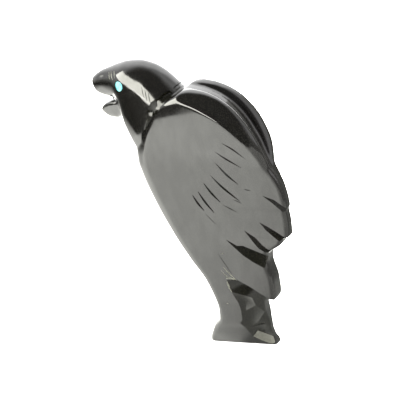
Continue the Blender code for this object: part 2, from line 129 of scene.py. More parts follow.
# The lower beak is keel-shaped
BEAK_SECTION = [
    (0.0, -1.0), (0.36, -0.80), (0.68, -0.38), (0.88, 0.10), (0.98, 0.55), (0.97, 0.84), (0.60, 0.98),
    (0.0, 1.0),
]


def limited_slopes(knots, values):
    """Slopes of a smooth line through the values that never overshoots them."""
    steps = [b - a for a, b in zip(knots, knots[1:])]
    rises = [(b - a) / h for a, b, h in zip(values, values[1:], steps)]
    slopes = [rises[0]]
    for h0, h1, r0, r1 in zip(steps, steps[1:], rises, rises[1:]):
        if r0 * r1 <= 0:
            slopes.append(0.0)
        else:
            slopes.append(3 * (h0 + h1) / ((2 * h1 + h0) / r0 + (h1 + 2 * h0) / r1))
    slopes.append(rises[-1])
    return slopes


def smooth_rows(rows):
    """Sections about one ring spacing apart, on smooth lines through the given ones."""
    knots = [0.0]
    for a, b in zip(rows, rows[1:]):
        front_step = math.hypot(b[0] - a[0], b[1] - a[1])
        rear_step = math.hypot(b[2] - a[2], b[3] - a[3])
        knots.append(knots[-1] + max(front_step, rear_step))
    columns = list(zip(*rows))
    slopes = [limited_slopes(knots, column) for column in columns]
    result = []
    for i, (k0, k1) in enumerate(zip(knots, knots[1:])):
        length = k1 - k0
        count = max(1, round(length / RING_SPACING))
        for j in range(count):
            t = j / count
            row = []
            for column, slope in zip(columns, slopes):
                start = (1 + 2 * t) * (1 - t) ** 2 * column[i] + t * (1 - t) ** 2 * length * slope[i]
                end = t * t * (3 - 2 * t) * column[i + 1] + t * t * (t - 1) * length * slope[i + 1]
                row.append(start + end)
            result.append(row)
    result.append(list(rows[-1]))
    return result


# Between a wing's flat side and its crest: share of the way up, share of the way in. A small ledge runs along
# the flat side's edge.
WING_TOP = [
    (0.0, 0.0), (0.04, 0.04), (0.08, 0.14), (0.14, 0.19), (0.50, 0.44), (0.75, 0.65), (0.90, 0.82),
    (1.0, 1.0),
]


def stepped(share):
    """How far in the wing's top has come at a share of the way up."""
    for (s0, i0), (s1, i1) in zip(WING_TOP, WING_TOP[1:]):
        if share <= s1:
            return i0 + (i1 - i0) * (share - s0) / (s1 - s0)
    return 1.0


def slab_ring(row):
    """One closed section of the slab: rounded nose, flat sides, rounded heel, two wing crests and a floor."""
    y0, z0, y1, z1, front_half, rear_half, nose, heel, crest, valley = row
    front = Vector((0, y0, z0))
    chord = Vector((0, y1, z1)) - front
    length = chord.length
    along = chord / length
    nose, heel = min(nose, 0.4 * length), min(heel, 0.4 * length)
    carved = valley / BACK_VALLEY
    half = []
    for i in range(NOSE_SEGMENTS + 1):
        turn = math.pi / 2 * i / NOSE_SEGMENTS
        half.append((nose * (1 - math.cos(turn)), front_half * math.sin(turn)))
    for i in range(1, PANEL_SEGMENTS + 1):
        share = i / PANEL_SEGMENTS
        half.append((nose + (length - nose - heel) * share, front_half + (rear_half - front_half) * share))
    for i in range(1, HEEL_SEGMENTS + 1):
        turn = math.pi / 2 * i / HEEL_SEGMENTS
        round_in = 1 - math.cos(turn)
        inward = round_in + (stepped(math.sin(turn)) - round_in) * carved
        half.append((length - heel * (1 - math.sin(turn)), rear_half - (rear_half - crest) * inward))
    for i in range(1, CREST_SEGMENTS + 1):
        share = i / CREST_SEGMENTS
        drop = 1 - math.sqrt(1 - share * share)
        half.append((length - valley * drop, crest + (VALLEY_FLOOR - 1) * crest * share))
    half.append((length - valley, 0.0))
    points = [front + along * t + Vector((x, 0, 0)) for t, x in half]
    return points + [Vector((-p.x, p.y, p.z)) for p in points[-2:0:-1]]


PROFILE_STEPS = 5


def rounded_profile(section):
    """A half section's corners joined by a smooth line through them."""
    (x0, h0), (x1, h1) = section[1], section[-2]
    corners = [Vector(c) for c in [(-x0, h0)] + section + [(-x1, h1)]]
    line = []
    for a, b, c, d in zip(corners, corners[1:], corners[2:], corners[3:]):
        for i in range(PROFILE_STEPS):
            t = i / PROFILE_STEPS
            line.append(0.5 * (2 * b + (c - a) * t + (2 * a - 5 * b + 4 * c - d) * t ** 2
                               + (3 * b - a - 3 * c + d) * t ** 3))
    return line + [corners[-2]]


head_profile = rounded_profile(HEAD_SECTION)
neck_profile = rounded_profile(NECK_SECTION)
beak_profile = rounded_profile(BEAK_SECTION)


def between(a, b, share):
    """A half section a share of the way from one to the other."""
    return [(xa + (xb - xa) * share, ha + (hb - ha) * share) for (xa, ha), (xb, hb) in zip(a, b)]


def head_ring(row, profile):
    """One closed section of the head, the neck or a beak."""
    upper, lower = Vector((0, row[0], row[1])), Vector((0, row[2], row[3]))
    middle, arm = (upper + lower) / 2, (upper - lower) / 2
    half = [middle + arm * height + Vector((row[4] * x, 0, 0)) for x, height in profile]
    return half + [Vector((-p.x, p.y, p.z)) for p in half[-2:0:-1]]


def skins(name, bodies):
    """One mesh object, in metres, with a closed skin through the rings of each body."""
    bm = bmesh.new()
    for rings in bodies:
        loops = [[bm.verts.new(p * MM) for p in ring] for ring in rings]
        count = len(loops[0])
        for a, b in zip(loops, loops[1:]):
            for i in range(count):
                j = (i + 1) % count
                bm.faces.new((a[i], a[j], b[j], b[i]))
        bm.faces.new(loops[0])
        bm.faces.new(loops[-1])
    bmesh.ops.recalc_face_normals(bm, faces=bm.faces)
    mesh = bpy.data.meshes.new(name)
    bm.to_mesh(mesh)
    bm.free()
    shape = bpy.data.objects.new(name, mesh)
    bpy.context.collection.objects.link(shape)
    return shape


def settled(shape, name):
    """Turns a shape with its modifiers into a plain mesh object of the given name."""
    mesh = bpy.data.meshes.new_from_object(shape.evaluated_get(bpy.context.evaluated_depsgraph_get()))
    mesh.name = name
    plain = bpy.data.objects.new(name, mesh)
    bpy.context.collection.objects.link(plain)
    bpy.data.objects.remove(shape, do_unlink=True)
    return plain


slab_stations = []
for rise, front_step, rear_step, width in [(-SAWN_BELOW / TOE_HEIGHT, 0.0, 0.0, 1.0)] + FOOT_LEVELS:
    slab_stations.append((front_step - FOOT_END, rise * TOE_HEIGHT, FOOT_END - rear_step, rise * TOE_HEIGHT,
                          width * FOOT_HALF, FOOT_REAR_HALF, FOOT_NOSE, FOOT_HEEL,
                          FOOT_CREST * FOOT_REAR_HALF, 0.0))
for y0, z0, y1, z1, front, rear, nose, heel, crest, valley in BODY:
    slab_stations.append((y0, z0, y1, z1, front * SLAB_HALF, rear * SLAB_HALF, nose, heel,
                          crest * rear * SLAB_HALF, valley * BACK_VALLEY))
slab_rows = smooth_rows(slab_stations)
head_rows = smooth_rows([(*s[:4], s[4] * HEAD_HALF, s[5]) for s in HEAD])
beak_rows = smooth_rows([(*s[:4], s[4] * LOWER_BEAK_HALF) for s in LOWER_BEAK])

# The parts grow together into one surface, which is then rubbed smooth
POLISH_GRID, POLISH_ROUNDS, POLISH_PRESSURE = 0.29, 7, 0.5
blank = skins("raven blank", [[slab_ring(r) for r in slab_rows],
                              [head_ring(r, between(head_profile, neck_profile, r[5])) for r in head_rows],
                              [head_ring(r, beak_profile) for r in beak_rows]])
ground = blank.modifiers.new("ground to one surface", "REMESH")
ground.mode = "VOXEL"
ground.voxel_size = POLISH_GRID * MM
polish = blank.modifiers.new("polished", "SMOOTH")
polish.factor = POLISH_PRESSURE
polish.iterations = POLISH_ROUNDS
blank = settled(blank, "raven ground")


def linear(colour):
    """A hex sRGB colour as linear red, green, blue and alpha."""
    parts = [int(colour[i:i + 2], 16) / 255 for i in (1, 3, 5)]
    return [c / 12.92 if c <= 0.04045 else ((c + 0.055) / 1.055) ** 2.4 for c in parts] + [1.0]


def add(tree, kind, settings, links):
    """Adds a node with its settings, and links its inputs to other nodes' outputs."""
    node = tree.nodes.new(kind)
    for key, value in settings.items():
        if key in node.inputs:
            node.inputs[key].default_value = value
        else:
            setattr(node, key, value)
    for key, source in links.items():
        tree.links.new(source, node.inputs[key])
    return node


# Jet is a black fossil wood that takes a high polish, so the eye sees the studio in it and little of its own
# colour. Hand rubbing leaves the flats a little wavy, with faint streaks along the old wood's grain where the
# polish is a shade duller, a few fine scratches, and smudges that mirror a little more or less.
JET_DARK, JET_BROWN, JET_IOR = "#050504", "#0b0a08", 1.66
GRAIN_MM, GRAIN_STRETCH, GRAIN_TURN, GRAIN_RISE = 1.6, 7.0, -28, 0.006
WAVE_MM, WAVE_RISE = 9.0, 0.072
SMUDGE_MM, SMUDGE_STRETCH, SMUDGE_LOW, SMUDGE_HIGH = 2.6, 2.2, 0.468, 0.528
SCRATCH_MM, SCRATCH_STRETCH, SCRATCH_TURN, SCRATCH_FROM, SCRATCH_FULL = 0.35, 30.0, 34, 0.68, 0.80
POLISH_FINE, POLISH_DULL = 0.07, 0.15


def new_material(name):
    """A material with an empty node tree."""
    material = bpy.data.materials.new(name)
    material.use_nodes = True
    material.node_tree.nodes.clear()
    return material, material.node_tree


jet, tree = new_material("polished jet, hand rubbed")
place = add(tree, "ShaderNodeTexCoord", {}, {}).outputs["Object"]
grain_place = add(tree, "ShaderNodeMapping", {"Rotation": (math.radians(GRAIN_TURN), 0, 0),
                                              "Scale": (1, 1, 1 / GRAIN_STRETCH)}, {"Vector": place})
grain = add(tree, "ShaderNodeTexNoise", {"Scale": 1 / (GRAIN_MM * MM), "Detail": 4.0, "Roughness": 0.6},
            {"Vector": grain_place.outputs[0]})
scratch_place = add(tree, "ShaderNodeMapping", {"Rotation": (math.radians(SCRATCH_TURN), 0, 0),
                                                "Scale": (1, 1, 1 / SCRATCH_STRETCH)}, {"Vector": place})
scratch = add(tree, "ShaderNodeTexNoise", {"Scale": 1 / (SCRATCH_MM * MM), "Detail": 2.0},
              {"Vector": scratch_place.outputs[0]})
scratched = add(tree, "ShaderNodeMapRange", {"From Min": SCRATCH_FROM, "From Max": SCRATCH_FULL},
                {"Value": scratch.outputs["Fac"]})
wave = add(tree, "ShaderNodeTexNoise", {"Scale": 1 / (WAVE_MM * MM), "Detail": 1.5}, {"Vector": place})
colour = add(tree, "ShaderNodeMix", {"data_type": "RGBA"}, {"Factor": grain.outputs["Fac"]})
colour.inputs["A"].default_value = linear(JET_DARK)
colour.inputs["B"].default_value = linear(JET_BROWN)
dull = add(tree, "ShaderNodeMapRange", {"From Min": 0.35, "From Max": 0.75, "To Min": POLISH_FINE,
                                        "To Max": POLISH_DULL}, {"Value": grain.outputs["Fac"]})
duller = add(tree, "ShaderNodeMath", {"operation": "MULTIPLY_ADD"},
             {0: scratched.outputs[0], 2: dull.outputs[0]})
duller.inputs[1].default_value = POLISH_DULL
smudge_place = add(tree, "ShaderNodeMapping", {"Rotation": (math.radians(GRAIN_TURN), 0, 0),
                                               "Scale": (1, 1, 1 / SMUDGE_STRETCH)}, {"Vector": place})
smudge = add(tree, "ShaderNodeTexNoise", {"Scale": 1 / (SMUDGE_MM * MM), "Detail": 5.0, "Roughness": 0.6},
             {"Vector": smudge_place.outputs[0]})
smudged = add(tree, "ShaderNodeMapRange", {"From Min": 0.35, "From Max": 0.65, "To Min": SMUDGE_LOW,
                                           "To Max": SMUDGE_HIGH}, {"Value": smudge.outputs["Fac"]})
wavy = add(tree, "ShaderNodeBump", {"Distance": WAVE_RISE * MM}, {"Height": wave.outputs["Fac"]})
grainy = add(tree, "ShaderNodeBump", {"Distance": GRAIN_RISE * MM},
             {"Height": grain.outputs["Fac"], "Normal": wavy.outputs[0]})
jet_skin = add(tree, "ShaderNodeBsdfPrincipled", {"IOR": JET_IOR}, {
    "Base Color": colour.outputs["Result"], "Roughness": duller.outputs[0], "Normal": grainy.outputs[0],
    "Specular IOR Level": smudged.outputs[0]})
add(tree, "ShaderNodeOutputMaterial", {}, {"Surface": jet_skin.outputs[0]})
blank.data.materials.append(jet)

# Where the chisel went in, the jet keeps its broken face: it is half dull in patches, a little olive, and
# stippled by the tool.
CUT_DARK, CUT_OLIVE = "#040503", "#0d0c06"
CUT_GLOSSY, CUT_DULL, CUT_SPECULAR = 0.08, 0.22, 0.34
STIPPLE_MM, STIPPLE_RISE, PATCH_MM = 0.5, 0.025, 3.0
chiselled, tree = new_material("jet, chiselled and left unpolished")
place = add(tree, "ShaderNodeTexCoord", {}, {}).outputs["Object"]
stipple = add(tree, "ShaderNodeTexNoise", {"Scale": 1 / (STIPPLE_MM * MM), "Detail": 3.0}, {"Vector": place})
patch = add(tree, "ShaderNodeTexNoise", {"Scale": 1 / (PATCH_MM * MM), "Detail": 1.0}, {"Vector": place})
colour = add(tree, "ShaderNodeMix", {"data_type": "RGBA"}, {"Factor": patch.outputs["Fac"]})
colour.inputs["A"].default_value = linear(CUT_DARK)
colour.inputs["B"].default_value = linear(CUT_OLIVE)
rough = add(tree, "ShaderNodeMapRange", {"To Min": CUT_GLOSSY, "To Max": CUT_DULL},
            {"Value": patch.outputs["Fac"]})
stippled = add(tree, "ShaderNodeBump", {"Distance": STIPPLE_RISE * MM}, {"Height": stipple.outputs["Fac"]})
cut_skin = add(tree, "ShaderNodeBsdfPrincipled", {"IOR": JET_IOR, "Specular IOR Level": CUT_SPECULAR}, {
    "Base Color": colour.outputs["Result"], "Roughness": rough.outputs[0], "Normal": stippled.outputs[0]})
add(tree, "ShaderNodeOutputMaterial", {}, {"Surface": cut_skin.outputs[0]})

# Where a tool scratched the jet, it is crushed to a grey powder that scatters light. It looks matt and
# mottled.
# The bevel at the pocket's foot is painted in the same matt way but a duller grey than the scratches: a
# painted highlight of its upward-facing facet.
BEVEL_HIGHLIGHT_PALE, BEVEL_HIGHLIGHT_GREY = "#505046", "#23231e"
SCRATCH_PALE, SCRATCH_GREY = "#7c7c70", "#3a3a33"
MOTTLE_MM, MATT_ROUGHNESS = 0.6, 0.5


def matt_mottled(name, pale, grey):
    """A matt finish mottled between two colours: crushed jet for the scratches, a painted highlight for the
    bevel.
    """
    finish, tree = new_material(name)
    place = add(tree, "ShaderNodeTexCoord", {}, {}).outputs["Object"]
    speckle_noise = add(tree, "ShaderNodeTexNoise", {"Scale": 1 / (MOTTLE_MM * MM), "Detail": 3.0}, {"Vector": place})
    colour = add(tree, "ShaderNodeMix", {"data_type": "RGBA"}, {"Factor": speckle_noise.outputs["Fac"]})
    colour.inputs["A"].default_value = linear(pale)
    colour.inputs["B"].default_value = linear(grey)
    matt_skin = add(tree, "ShaderNodeBsdfPrincipled", {"Roughness": MATT_ROUGHNESS, "IOR": JET_IOR},
                 {"Base Color": colour.outputs["Result"]})
    add(tree, "ShaderNodeOutputMaterial", {}, {"Surface": matt_skin.outputs[0]})
    return finish


# The pocket's bevel is painted pale grey as a painted highlight; the scratches' pale grey is their own
bevel_highlight = matt_mottled("jet bevel, painted pale highlight", BEVEL_HIGHLIGHT_PALE, BEVEL_HIGHLIGHT_GREY)
scratched_pale = matt_mottled("jet, scratched pale", SCRATCH_PALE, SCRATCH_GREY)


# The carver's cuts: the flat sawn base, the groove round the neck, the deep cuts between the feather tips,
# the rough pocket between leg and tail, short strokes for the wing feathers and a drilled seat for each eye.
def section_at(rows, y, z):
    """The section through a point of the side view, and how far along it the point lies."""
    last = None
    for row in rows:
        start = Vector((row[0], row[1]))
        along = Vector((row[2], row[3])) - start
        offset = Vector((y, z)) - start
        aside = (along.x * offset.y - along.y * offset.x) / along.length
        here = offset.dot(along) / along.length_squared
        if last and (aside <= 0) != (last[0] <= 0):
            share = last[0] / (last[0] - aside)
            return [a + (b - a) * share for a, b in zip(last[1], row)], last[2] + (here - last[2]) * share
        last = (aside, row, here)
    return rows[-1], here


def panel_x(y, z):
    """Half the slab's thickness at a point of the side view."""
    row, share = section_at(slab_rows, y, z)
    y0, z0, y1, z1, front_half, rear_half, nose, heel = row[:8]
    length = math.hypot(y1 - y0, z1 - z0)
    across = (share * length - nose) / (length - nose - heel)
    return front_half + (rear_half - front_half) * min(1.0, max(0.0, across))


def shoulder_x(y, z):
    """Half the slab's thickness with the rounding of its front edge."""
    row, share = section_at(slab_rows, y, z)
    y0, z0, y1, z1, front_half, _, nose = row[:7]
    inward = share * math.hypot(y1 - y0, z1 - z0)
    return front_half * math.sqrt(max(0.0, 1 - max(0.0, 1 - inward / nose) ** 2))


def head_x(y, z):
    """Half the head's width at a point of the side view."""
    row, share = section_at(head_rows, y, z)
    width, neck_share = row[4:]
    height = min(1.0, max(-1.0, 1 - 2 * share))
    profile = between(head_profile, neck_profile, neck_share)
    for (x0, h0), (x1, h1) in zip(profile, profile[1:]):
        if h0 <= height <= h1:
            return width * (x0 + (x1 - x0) * (height - h0) / max(h1 - h0, 1e-6))
    return 0.0


# Each deep cut by rows: its upper edge (y, z), its lower edge (y, z) and its depth under the upper edge. The
# wall under the upper feather is steep, and the floor rises to the feather below.
FEATHER_CUTS = [
    [(11.0, 43.5, 11.0, 43.4, 0.05), (13.7, 42.6, 13.3, 41.6, 0.7), (15.8, 41.0, 15.2, 39.8, 1.1),
     (17.9, 39.3, 17.1, 37.8, 1.3), (19.5, 38.1, 18.6, 36.4, 1.4)],
    [(9.3, 36.1, 9.3, 36.0, 0.05), (11.2, 35.1, 10.7, 34.1, 0.6), (13.2, 33.9, 12.6, 32.4, 1.0),
     (15.9, 32.3, 14.8, 30.6, 1.3), (18.5, 30.8, 17.4, 28.8, 1.4)],
    [(5.1, 33.5, 5.1, 33.4, 0.05), (7.7, 31.9, 6.9, 30.9, 0.6), (9.6, 29.9, 8.5, 28.9, 1.0),
     (10.9, 28.8, 10.0, 27.9, 1.2), (13.5, 27.9, 12.8, 26.9, 1.3)],
    [(0.0, 30.7, 0.0, 30.6, 0.05), (2.7, 29.2, 2.2, 28.4, 0.45), (4.3, 29.3, 4.0, 26.5, 1.0),
     (6.8, 28.3, 6.4, 24.7, 1.3), (9.3, 27.3, 8.9, 23.3, 1.4), (12.5, 26.2, 12.2, 22.0, 1.5)],
]
# How far the wall leans and how deep the floor's lower edge lies, as shares of the cut. The tool stands clear
# of the surface, and the cuts of the two sides leave a web between them.
WALL_LEAN, FLOOR_EDGE = 0.22, 0.12
CUT_CLEAR, CUT_SHALLOW, WEB_HALF = 1.2, 0.4, 0.45


def feather_cut(stations, sign):
    """A wedge with a steep wall at its upper edge and a floor that slopes up to its lower edge."""
    rings = []
    for uy, uz, ly, lz, asked in stations:
        upper, lower = Vector((0, uy, uz)), Vector((0, ly, lz))
        surface = Vector((panel_x((uy + ly) / 2, (uz + lz) / 2), 0, 0))
        depth = min(asked, surface.x - WEB_HALF)
        clear = Vector((CUT_CLEAR, 0, 0))
        rise = (upper - lower) * CUT_CLEAR / max(depth, CUT_SHALLOW)
        deep = upper.lerp(lower, WALL_LEAN) - Vector((depth, 0, 0))
        ring = [surface + clear + upper + rise * WALL_LEAN, surface + upper, surface + deep,
                surface + lower - Vector((depth * FLOOR_EDGE, 0, 0)), surface + clear + lower]
        rings.append([Vector((sign * p.x, p.y, p.z)) for p in ring])
    return rings


def cut_away(shape, tool, finish):
    """Subtracts a closed tool from the shape, leaves the cut faces in a finish, then removes the tool."""
    if not tool.data.materials:
        tool.data.materials.append(finish)
    cut = shape.modifiers.new(tool.name, "BOOLEAN")
    cut.operation = "DIFFERENCE"
    cut.object = tool
    cut.solver = "MANIFOLD"
    cut.material_mode = "TRANSFER"
    plain = settled(shape, shape.name)
    bpy.data.objects.remove(tool, do_unlink=True)
    return plain


SQUARE = ((-1, -1), (1, -1), (1, 1), (-1, 1))
SAW_REACH = 30.0
sawn_base = skins("sawn base", [[[Vector((x * SAW_REACH, y * SAW_REACH, z)) for x, y in SQUARE]
                                 for z in (-SAW_REACH, 0.0)]])
raven = cut_away(blank, sawn_base, jet)
sides = (1, -1)
feathers = skins("feather cuts", [feather_cut(cut, sign) for cut in FEATHER_CUTS for sign in sides])
raven = cut_away(raven, feathers, chiselled)

# The rough pocket: its rim (y, z), then points of its knapped floor (y, z, depth), joined by flat facets
POCKET_RIM = [
    (-1.3, 18.9), (1.4, 19.2), (4.9, 17.3), (7.4, 15.6), (9.6, 14.4), (12.5, 13.2), (12.5, 1.6), (9.2, 0.5),
    (7.9, 0.3), (5.6, 1.1), (3.5, 2.1), (2.2, 3.8), (0.6, 6.1), (1.3, 7.0), (1.3, 10.0), (0.6, 13.0),
    (-0.4, 15.4), (-1.2, 16.6),
]
POCKET_FLOOR = [
    (-0.5, 17.7, 0.30), (0.9, 18.3, 1.10), (0.4, 15.9, 0.75), (2.6, 17.3, 1.60), (2.0, 14.6, 0.50),
    (4.6, 16.3, 1.90), (4.4, 13.6, 0.90), (6.9, 14.8, 2.00), (9.2, 13.5, 2.35), (2.5, 12.2, 1.35),
    (5.0, 11.3, 0.75), (6.6, 12.6, 1.90), (9.8, 11.0, 2.55), (2.2, 9.6, 0.55), (4.4, 8.9, 1.45),
    (7.0, 9.3, 1.05), (9.9, 8.0, 2.50), (2.6, 6.9, 0.95), (5.2, 6.6, 0.80), (7.6, 6.6, 1.80),
    (10.2, 5.4, 2.40), (3.0, 4.7, 0.45), (5.8, 5.0, 1.55), (8.0, 4.2, 1.70), (4.6, 3.6, 0.50),
    (6.4, 2.8, 0.70), (8.4, 2.0, 0.80), (10.4, 2.8, 1.70),
]
# The two pockets leave a core between them. The facets at the foot, between two places, are a bevel painted
# pale grey as a painted highlight.
RIM_DEPTH, CORE_HALF = 0.02, 0.6
BEVEL_TOP, BEVEL_FROM, BEVEL_TO = 3.8, 3.8, 8.8


def pocket(sign):
    """A closed cutter with a lid clear of the surface and a floor of flat chisel facets."""
    flat = [Vector((y, z)) for y, z in POCKET_RIM] + [Vector((y, z)) for y, z, d in POCKET_FLOOR]
    loop = list(range(len(POCKET_RIM)))
    edges = list(zip(loop, loop[1:] + loop[:1]))
    points, _, faces = geometry.delaunay_2d_cdt(flat, edges, [], 1, 1e-6)[:3]
    depths = [RIM_DEPTH] * len(POCKET_RIM) + [d for y, z, d in POCKET_FLOOR]
    bm = bmesh.new()
    low, top = [], []
    for point, depth in zip(points, depths):
        x = panel_x(*point)
        low.append(bm.verts.new(Vector((sign * max(CORE_HALF, x - depth), *point)) * MM))
        top.append(bm.verts.new(Vector((sign * (x + CUT_CLEAR), *point)) * MM))
    for face in faces:
        chip = bm.faces.new([low[i] for i in face])
        middle = sum((points[i] for i in face), Vector((0, 0))) / 3
        # The bevel's facets get the pale painted highlight
        bevel = all(points[i].y < BEVEL_TOP for i in face) and BEVEL_FROM < middle.x < BEVEL_TO
        chip.material_index = 1 if bevel else 0
        bm.faces.new([top[i] for i in reversed(face)])
    for i, j in edges:
        bm.faces.new((low[i], low[j], top[j], top[i]))
    bmesh.ops.recalc_face_normals(bm, faces=bm.faces)
    mesh = bpy.data.meshes.new("pocket")
    bm.to_mesh(mesh)
    bm.free()
    mesh.materials.append(chiselled)
    mesh.materials.append(bevel_highlight)
    cutter = bpy.data.objects.new("pocket", mesh)
    bpy.context.collection.objects.link(cutter)
    return cutter


for sign in sides:
    raven = cut_away(raven, pocket(sign), chiselled)

# The groove round the neck is chiselled: its tool follows the groove and wanders a little in and out. Rows
# run from the nape down one side: place (y, z) and share of the tool's radius. The tool's middle stands off
# the surface, so the groove is shallower than it is wide.
COLLAR = [
    (-9.9, 70.3, 0.28), (-11.0, 69.4, 0.45), (-12.5, 68.1, 0.72), (-14.1, 66.8, 0.92), (-15.8, 65.0, 0.80),
    (-17.0, 62.8, 0.50), (-18.0, 60.6, 0.28), (-18.6, 58.8, 0.08),
]
NECK_MIDDLE = (-14.0, 60.0)
COLLAR_RADIUS, COLLAR_OFF, COLLAR_SIDES = 1.75, 1.0, 11
CHISEL_STEP, CHISEL_WANDER, CHISEL_SEED = 0.8, 0.16, 7


def collar_rings():
    """An uneven tube that follows the groove, on whichever stands further out, neck or shoulder."""
    chisel = random.Random(CHISEL_SEED)
    down = []
    for (y0, z0, w0), (y1, z1, w1) in zip(COLLAR, COLLAR[1:]):
        count = max(1, round(math.hypot(y1 - y0, z1 - z0) / CHISEL_STEP))
        for i in range(count):
            t = i / count
            y, z, share = y0 + (y1 - y0) * t, z0 + (z1 - z0) * t, w0 + (w1 - w0) * t
            x = max(head_x(y, z), shoulder_x(y, z)) + COLLAR_OFF * share
            down.append((Vector((x, y, z)), share))
    # The two sides meet across the nape
    down[0][0].x = CHISEL_STEP / 2
    stops = [(Vector((-p.x, p.y, p.z)), share) for p, share in reversed(down)] + down
    points = [p for p, share in stops]
    rings = []
    for i, (point, share) in enumerate(stops):
        along = (points[min(len(points) - 1, i + 1)] - points[max(0, i - 1)]).normalized()
        aside = along.cross(point - Vector((0, *NECK_MIDDLE))).normalized()
        upward = along.cross(aside)
        ring = []
        for j in range(COLLAR_SIDES):
            turn = 2 * math.pi * j / COLLAR_SIDES
            radius = share * COLLAR_RADIUS * (1 + CHISEL_WANDER * (2 * chisel.random() - 1))
            ring.append(point + (aside * math.cos(turn) + upward * math.sin(turn)) * radius)
        rings.append(ring)
    return rings


raven = cut_away(raven, skins("collar groove", [collar_rings()]), chiselled)

# Short strokes for the wing feathers, ripples on the neck, pale scratches by the pocket and nicks over the
# eye. Each is a path of (y, z, share of the depth), and a round point is drawn along it.
WING_STROKES = [
    [(-7.6, 42.6, 0.3), (-6.4, 40.4, 1.0), (-5.0, 38.4, 0.3)],
    [(-6.0, 43.7, 0.3), (-4.5, 41.0, 1.0), (-2.4, 38.0, 0.3)],
    [(-4.2, 46.1, 0.3), (-2.5, 43.5, 1.0), (-0.4, 41.1, 0.3)],
    [(-2.2, 48.5, 0.1), (0.4, 45.5, 1.0), (3.2, 43.0, 0.7), (4.9, 41.6, 0.1)],
    [(-0.3, 52.3, 0.1), (2.0, 49.0, 1.0), (4.9, 46.3, 0.2)],
    [(0.5, 55.6, 0.1), (2.6, 53.8, 0.9), (4.7, 52.3, 0.6), (6.4, 51.1, 0.1)],
    [(2.9, 58.3, 0.1), (5.6, 56.6, 0.8), (8.3, 53.9, 0.1)],
]
FAINT_STROKES = [
    [(0.2, 40.4, 0.1), (1.9, 39.5, 0.4), (3.8, 38.5, 0.1)],
    [(3.1, 42.0, 0.1), (4.2, 41.6, 0.35), (5.2, 41.1, 0.1)],
    [(6.2, 45.1, 0.1), (7.1, 44.9, 0.4), (8.0, 44.8, 0.1)],
    [(-2.7, 26.4, 0.1), (-1.6, 24.2, 0.3), (0.2, 20.8, 0.2)],
    [(-4.8, 37.6, 0.1), (-3.5, 36.1, 0.3), (-2.2, 34.7, 0.1)],
]
NECK_RIPPLES = [
    [(-18.3, 70.8, 0.1), (-18.0, 69.6, 0.35), (-17.6, 68.2, 0.1)],
    [(-17.4, 70.2, 0.1), (-17.1, 68.9, 0.35), (-16.8, 67.5, 0.1)],
    [(-16.4, 69.5, 0.1), (-16.2, 68.2, 0.35), (-15.9, 67.0, 0.1)],
]
PALE_SCRATCHES = [
    [(-1.5, 19.3, 0.3), (-0.2, 19.5, 0.9), (1.4, 19.0, 0.4)],
    [(-1.3, 18.4, 0.3), (-1.1, 17.0, 0.8), (-0.4, 15.4, 0.3)],
    [(-1.7, 26.6, 0.5), (-1.5, 26.6, 0.6), (-1.3, 26.5, 0.5)],
    [(-2.3, 11.8, 0.4), (-2.1, 11.8, 0.5), (-1.9, 11.7, 0.4)],
    [(-1.9, 22.6, 0.2), (-0.5, 20.9, 0.55), (1.2, 19.2, 0.35)],
    [(-2.6, 21.6, 0.1), (-1.8, 20.6, 0.4), (-0.9, 19.5, 0.3)],
]
EYE_NICKS = [
    [(-29.1, 72.8, 0.2), (-28.7, 72.0, 0.7), (-28.4, 71.2, 0.2)],
    [(-28.3, 73.1, 0.2), (-27.9, 72.3, 0.8), (-27.3, 71.4, 0.2)],
    [(-27.2, 73.4, 0.2), (-26.9, 72.8, 0.7), (-26.5, 72.0, 0.2)],
]
STROKE_DEPTH, STROKE_SIDES, STROKE_POINTS = 0.33, 6, 14

stroke_tree = bpy.data.node_groups.new("strokes along paths", "GeometryNodeTree")
for label, kind in (("Paths", "Geometry"), ("Depth", "Float"), ("Sides", "Int"), ("Points", "Int"),
                    ("Material", "Material")):
    stroke_tree.interface.new_socket(label, in_out="INPUT", socket_type="NodeSocket" + kind)
stroke_tree.interface.new_socket("Tools", in_out="OUTPUT", socket_type="NodeSocketGeometry")
asked = add(stroke_tree, "NodeGroupInput", {}, {}).outputs
paths = add(stroke_tree, "GeometryNodeMeshToCurve", {}, {"Mesh": asked["Paths"]})
bent = add(stroke_tree, "GeometryNodeCurveSplineType", {"spline_type": "CATMULL_ROM"},
           {"Curve": paths.outputs[0]})
spaced = add(stroke_tree, "GeometryNodeResampleCurve", {},
             {"Curve": bent.outputs[0], "Count": asked["Points"]})
share = add(stroke_tree, "GeometryNodeInputNamedAttribute", {"data_type": "FLOAT", "Name": "share"}, {})
depth = add(stroke_tree, "ShaderNodeMath", {"operation": "MULTIPLY"},
            {0: share.outputs["Attribute"], 1: asked["Depth"]})
profile = add(stroke_tree, "GeometryNodeCurvePrimitiveCircle", {"Radius": 1.0},
              {"Resolution": asked["Sides"]})
swept = add(stroke_tree, "GeometryNodeCurveToMesh", {"Fill Caps": True},
            {"Curve": spaced.outputs[0], "Profile Curve": profile.outputs[0], "Scale": depth.outputs[0]})
real = add(stroke_tree, "GeometryNodeRealizeInstances", {}, {"Geometry": swept.outputs[0]})
dressed = add(stroke_tree, "GeometryNodeSetMaterial", {},
              {"Geometry": real.outputs[0], "Material": asked["Material"]})
add(stroke_tree, "NodeGroupOutput", {}, {"Tools": dressed.outputs[0]})


